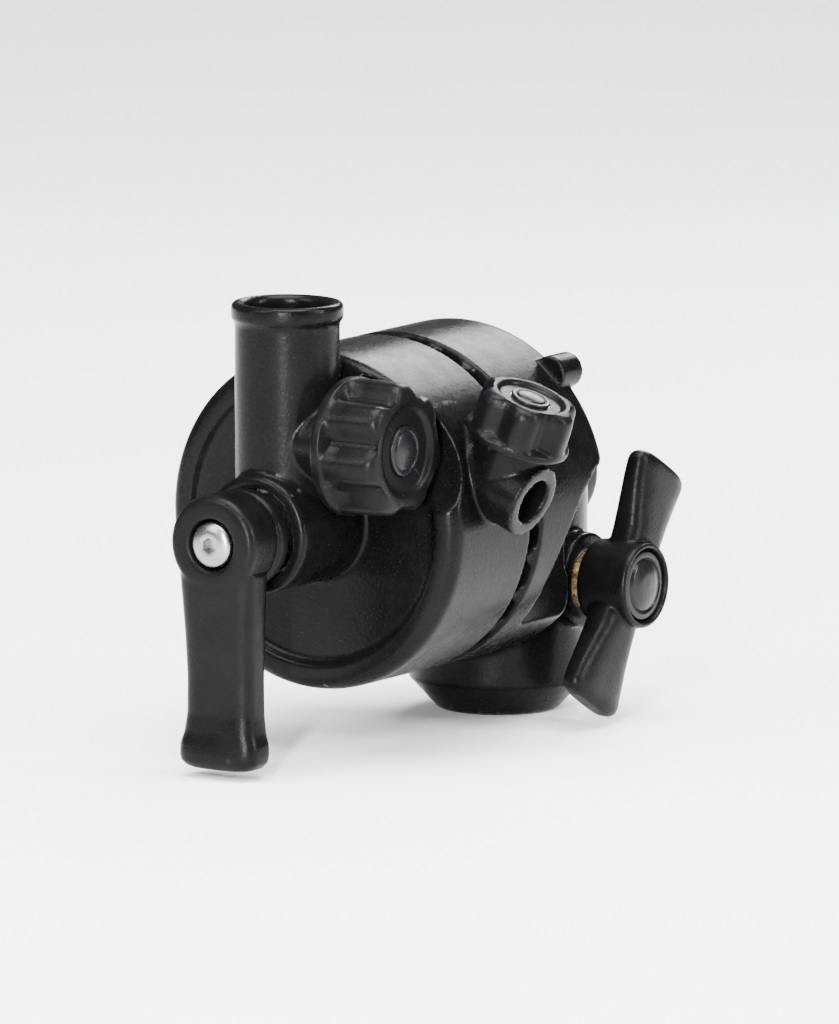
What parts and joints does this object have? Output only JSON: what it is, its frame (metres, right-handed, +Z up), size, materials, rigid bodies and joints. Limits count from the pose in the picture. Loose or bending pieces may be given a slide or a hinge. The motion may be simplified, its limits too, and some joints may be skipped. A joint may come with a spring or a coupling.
{
  "type": "umbrella swivel bracket",
  "caption": "Tilting clamp bracket for a lighting umbrella: two toothed castings on a tilt bolt, a stand socket, an upright stud socket and an angled umbrella bore.",
  "frame": {"origin": "centre of the stand socket's mouth", "axes": "+Z up the stand socket; +Y along the tilt bolt towards the stand socket's far side; +X towards the lock knobs"},
  "size_m": [0.0805, 0.1179, 0.0865],
  "materials": {
    "black_casting": "satin black powder coat on die casting",
    "black_nylon": "fine moulded texture",
    "cap_plastic": "smooth moulded",
    "zinc_steel": "zinc plated",
    "bright_steel": "bright plated",
    "spring_steel": "oiled spring wire",
    "brass_insert": "turned",
    "pad_nylon": "plain"
  },
  "bodies": {
    "stand_body": {"stand_casting": "black_casting", "tilt_bolt": "zinc_steel", "release_spring": "spring_steel", "stand_lock_insert": "brass_insert"},
    "closing_washer": {"thrust_washer": "zinc_steel"},
    "umbrella_body": {"umbrella_casting": "black_casting", "flash_lock_insert": "brass_insert", "umbrella_lock_insert": "brass_insert"},
    "clamp_nut": {"lever_insert": "zinc_steel", "lever_screw": "bright_steel", "lever_spring": "spring_steel"},
    "lever": {"ratchet_lever": "black_nylon"},
    "stand_lock_pad": {"stand_lock_pad": "pad_nylon"},
    "stand_lock_screw": {"stand_lock_screw": "zinc_steel", "stand_lock_handle": "black_nylon", "stand_lock_cap": "cap_plastic"},
    "flash_lock_pad": {"flash_lock_pad": "pad_nylon"},
    "flash_lock_screw": {"flash_lock_screw": "zinc_steel", "flash_lock_knob": "black_nylon", "flash_lock_cap": "cap_plastic"},
    "umbrella_lock_pad": {"umbrella_lock_pad": "pad_nylon"},
    "umbrella_lock_screw": {"umbrella_lock_screw": "zinc_steel", "umbrella_lock_knob": "black_nylon", "umbrella_lock_cap": "cap_plastic"}
  },
  "joints": [
    {"name": "joint_close", "type": "slide", "parent": "stand_body", "child": "closing_washer", "axis": [0, 1, 0], "range_m": [0, 0.00175], "deforming": ["release_spring"]},
    {"name": "tilt", "type": "hinge", "parent": "closing_washer", "child": "umbrella_body", "pos_m": [0, -0.0365, 0.044], "axis": [0, 1, 0], "continuous": true},
    {"name": "clamp_turn", "type": "hinge", "parent": "closing_washer", "child": "clamp_nut", "pos_m": [0, -0.0795, 0.044], "axis": [0, 1, 0], "range_deg": [0, 504]},
    {"name": "lever_lift", "type": "slide", "parent": "clamp_nut", "child": "lever", "axis": [0, -1, 0], "range_m": [0, 0.0034], "stiffness_N_per_m": 800, "springref_m": -0.002, "deforming": ["lever_spring"]},
    {"name": "stand_lock_feed", "type": "slide", "parent": "stand_body", "child": "stand_lock_pad", "axis": [-1, 0, 0], "range_m": [0, 0.0015]},
    {"name": "stand_lock_turn", "type": "hinge", "parent": "stand_lock_pad", "child": "stand_lock_screw", "pos_m": [0.0285, 0, 0.026], "axis": [-1, 0, 0], "range_deg": [0, 540]},
    {"name": "flash_lock_feed", "type": "slide", "parent": "umbrella_body", "child": "flash_lock_pad", "axis": [-1, 0, 0], "range_m": [0, 0.0015]},
    {"name": "flash_lock_turn", "type": "hinge", "parent": "flash_lock_pad", "child": "flash_lock_screw", "pos_m": [0.0205, -0.0725, 0.0605], "axis": [-1, 0, 0], "range_deg": [0, 540]},
    {"name": "umbrella_lock_feed", "type": "slide", "parent": "umbrella_body", "child": "umbrella_lock_pad", "axis": [-0.3746, 0, -0.9272], "range_m": [0, 0.0012]},
    {"name": "umbrella_lock_turn", "type": "hinge", "parent": "umbrella_lock_pad", "child": "umbrella_lock_screw", "pos_m": [0.03788, -0.0505, 0.06422], "axis": [-0.3746, 0, -0.9272], "range_deg": [0, 540]}
  ],
  "couplings": [
    {"joint": "clamp_turn", "follows": "joint_close", "rad_per_m": 5026.5},
    {"joint": "stand_lock_feed", "follows": "stand_lock_turn", "m_per_rad": 0.00015915},
    {"joint": "flash_lock_feed", "follows": "flash_lock_turn", "m_per_rad": 0.00015915},
    {"joint": "umbrella_lock_feed", "follows": "umbrella_lock_turn", "m_per_rad": 0.00012732}
  ]
}
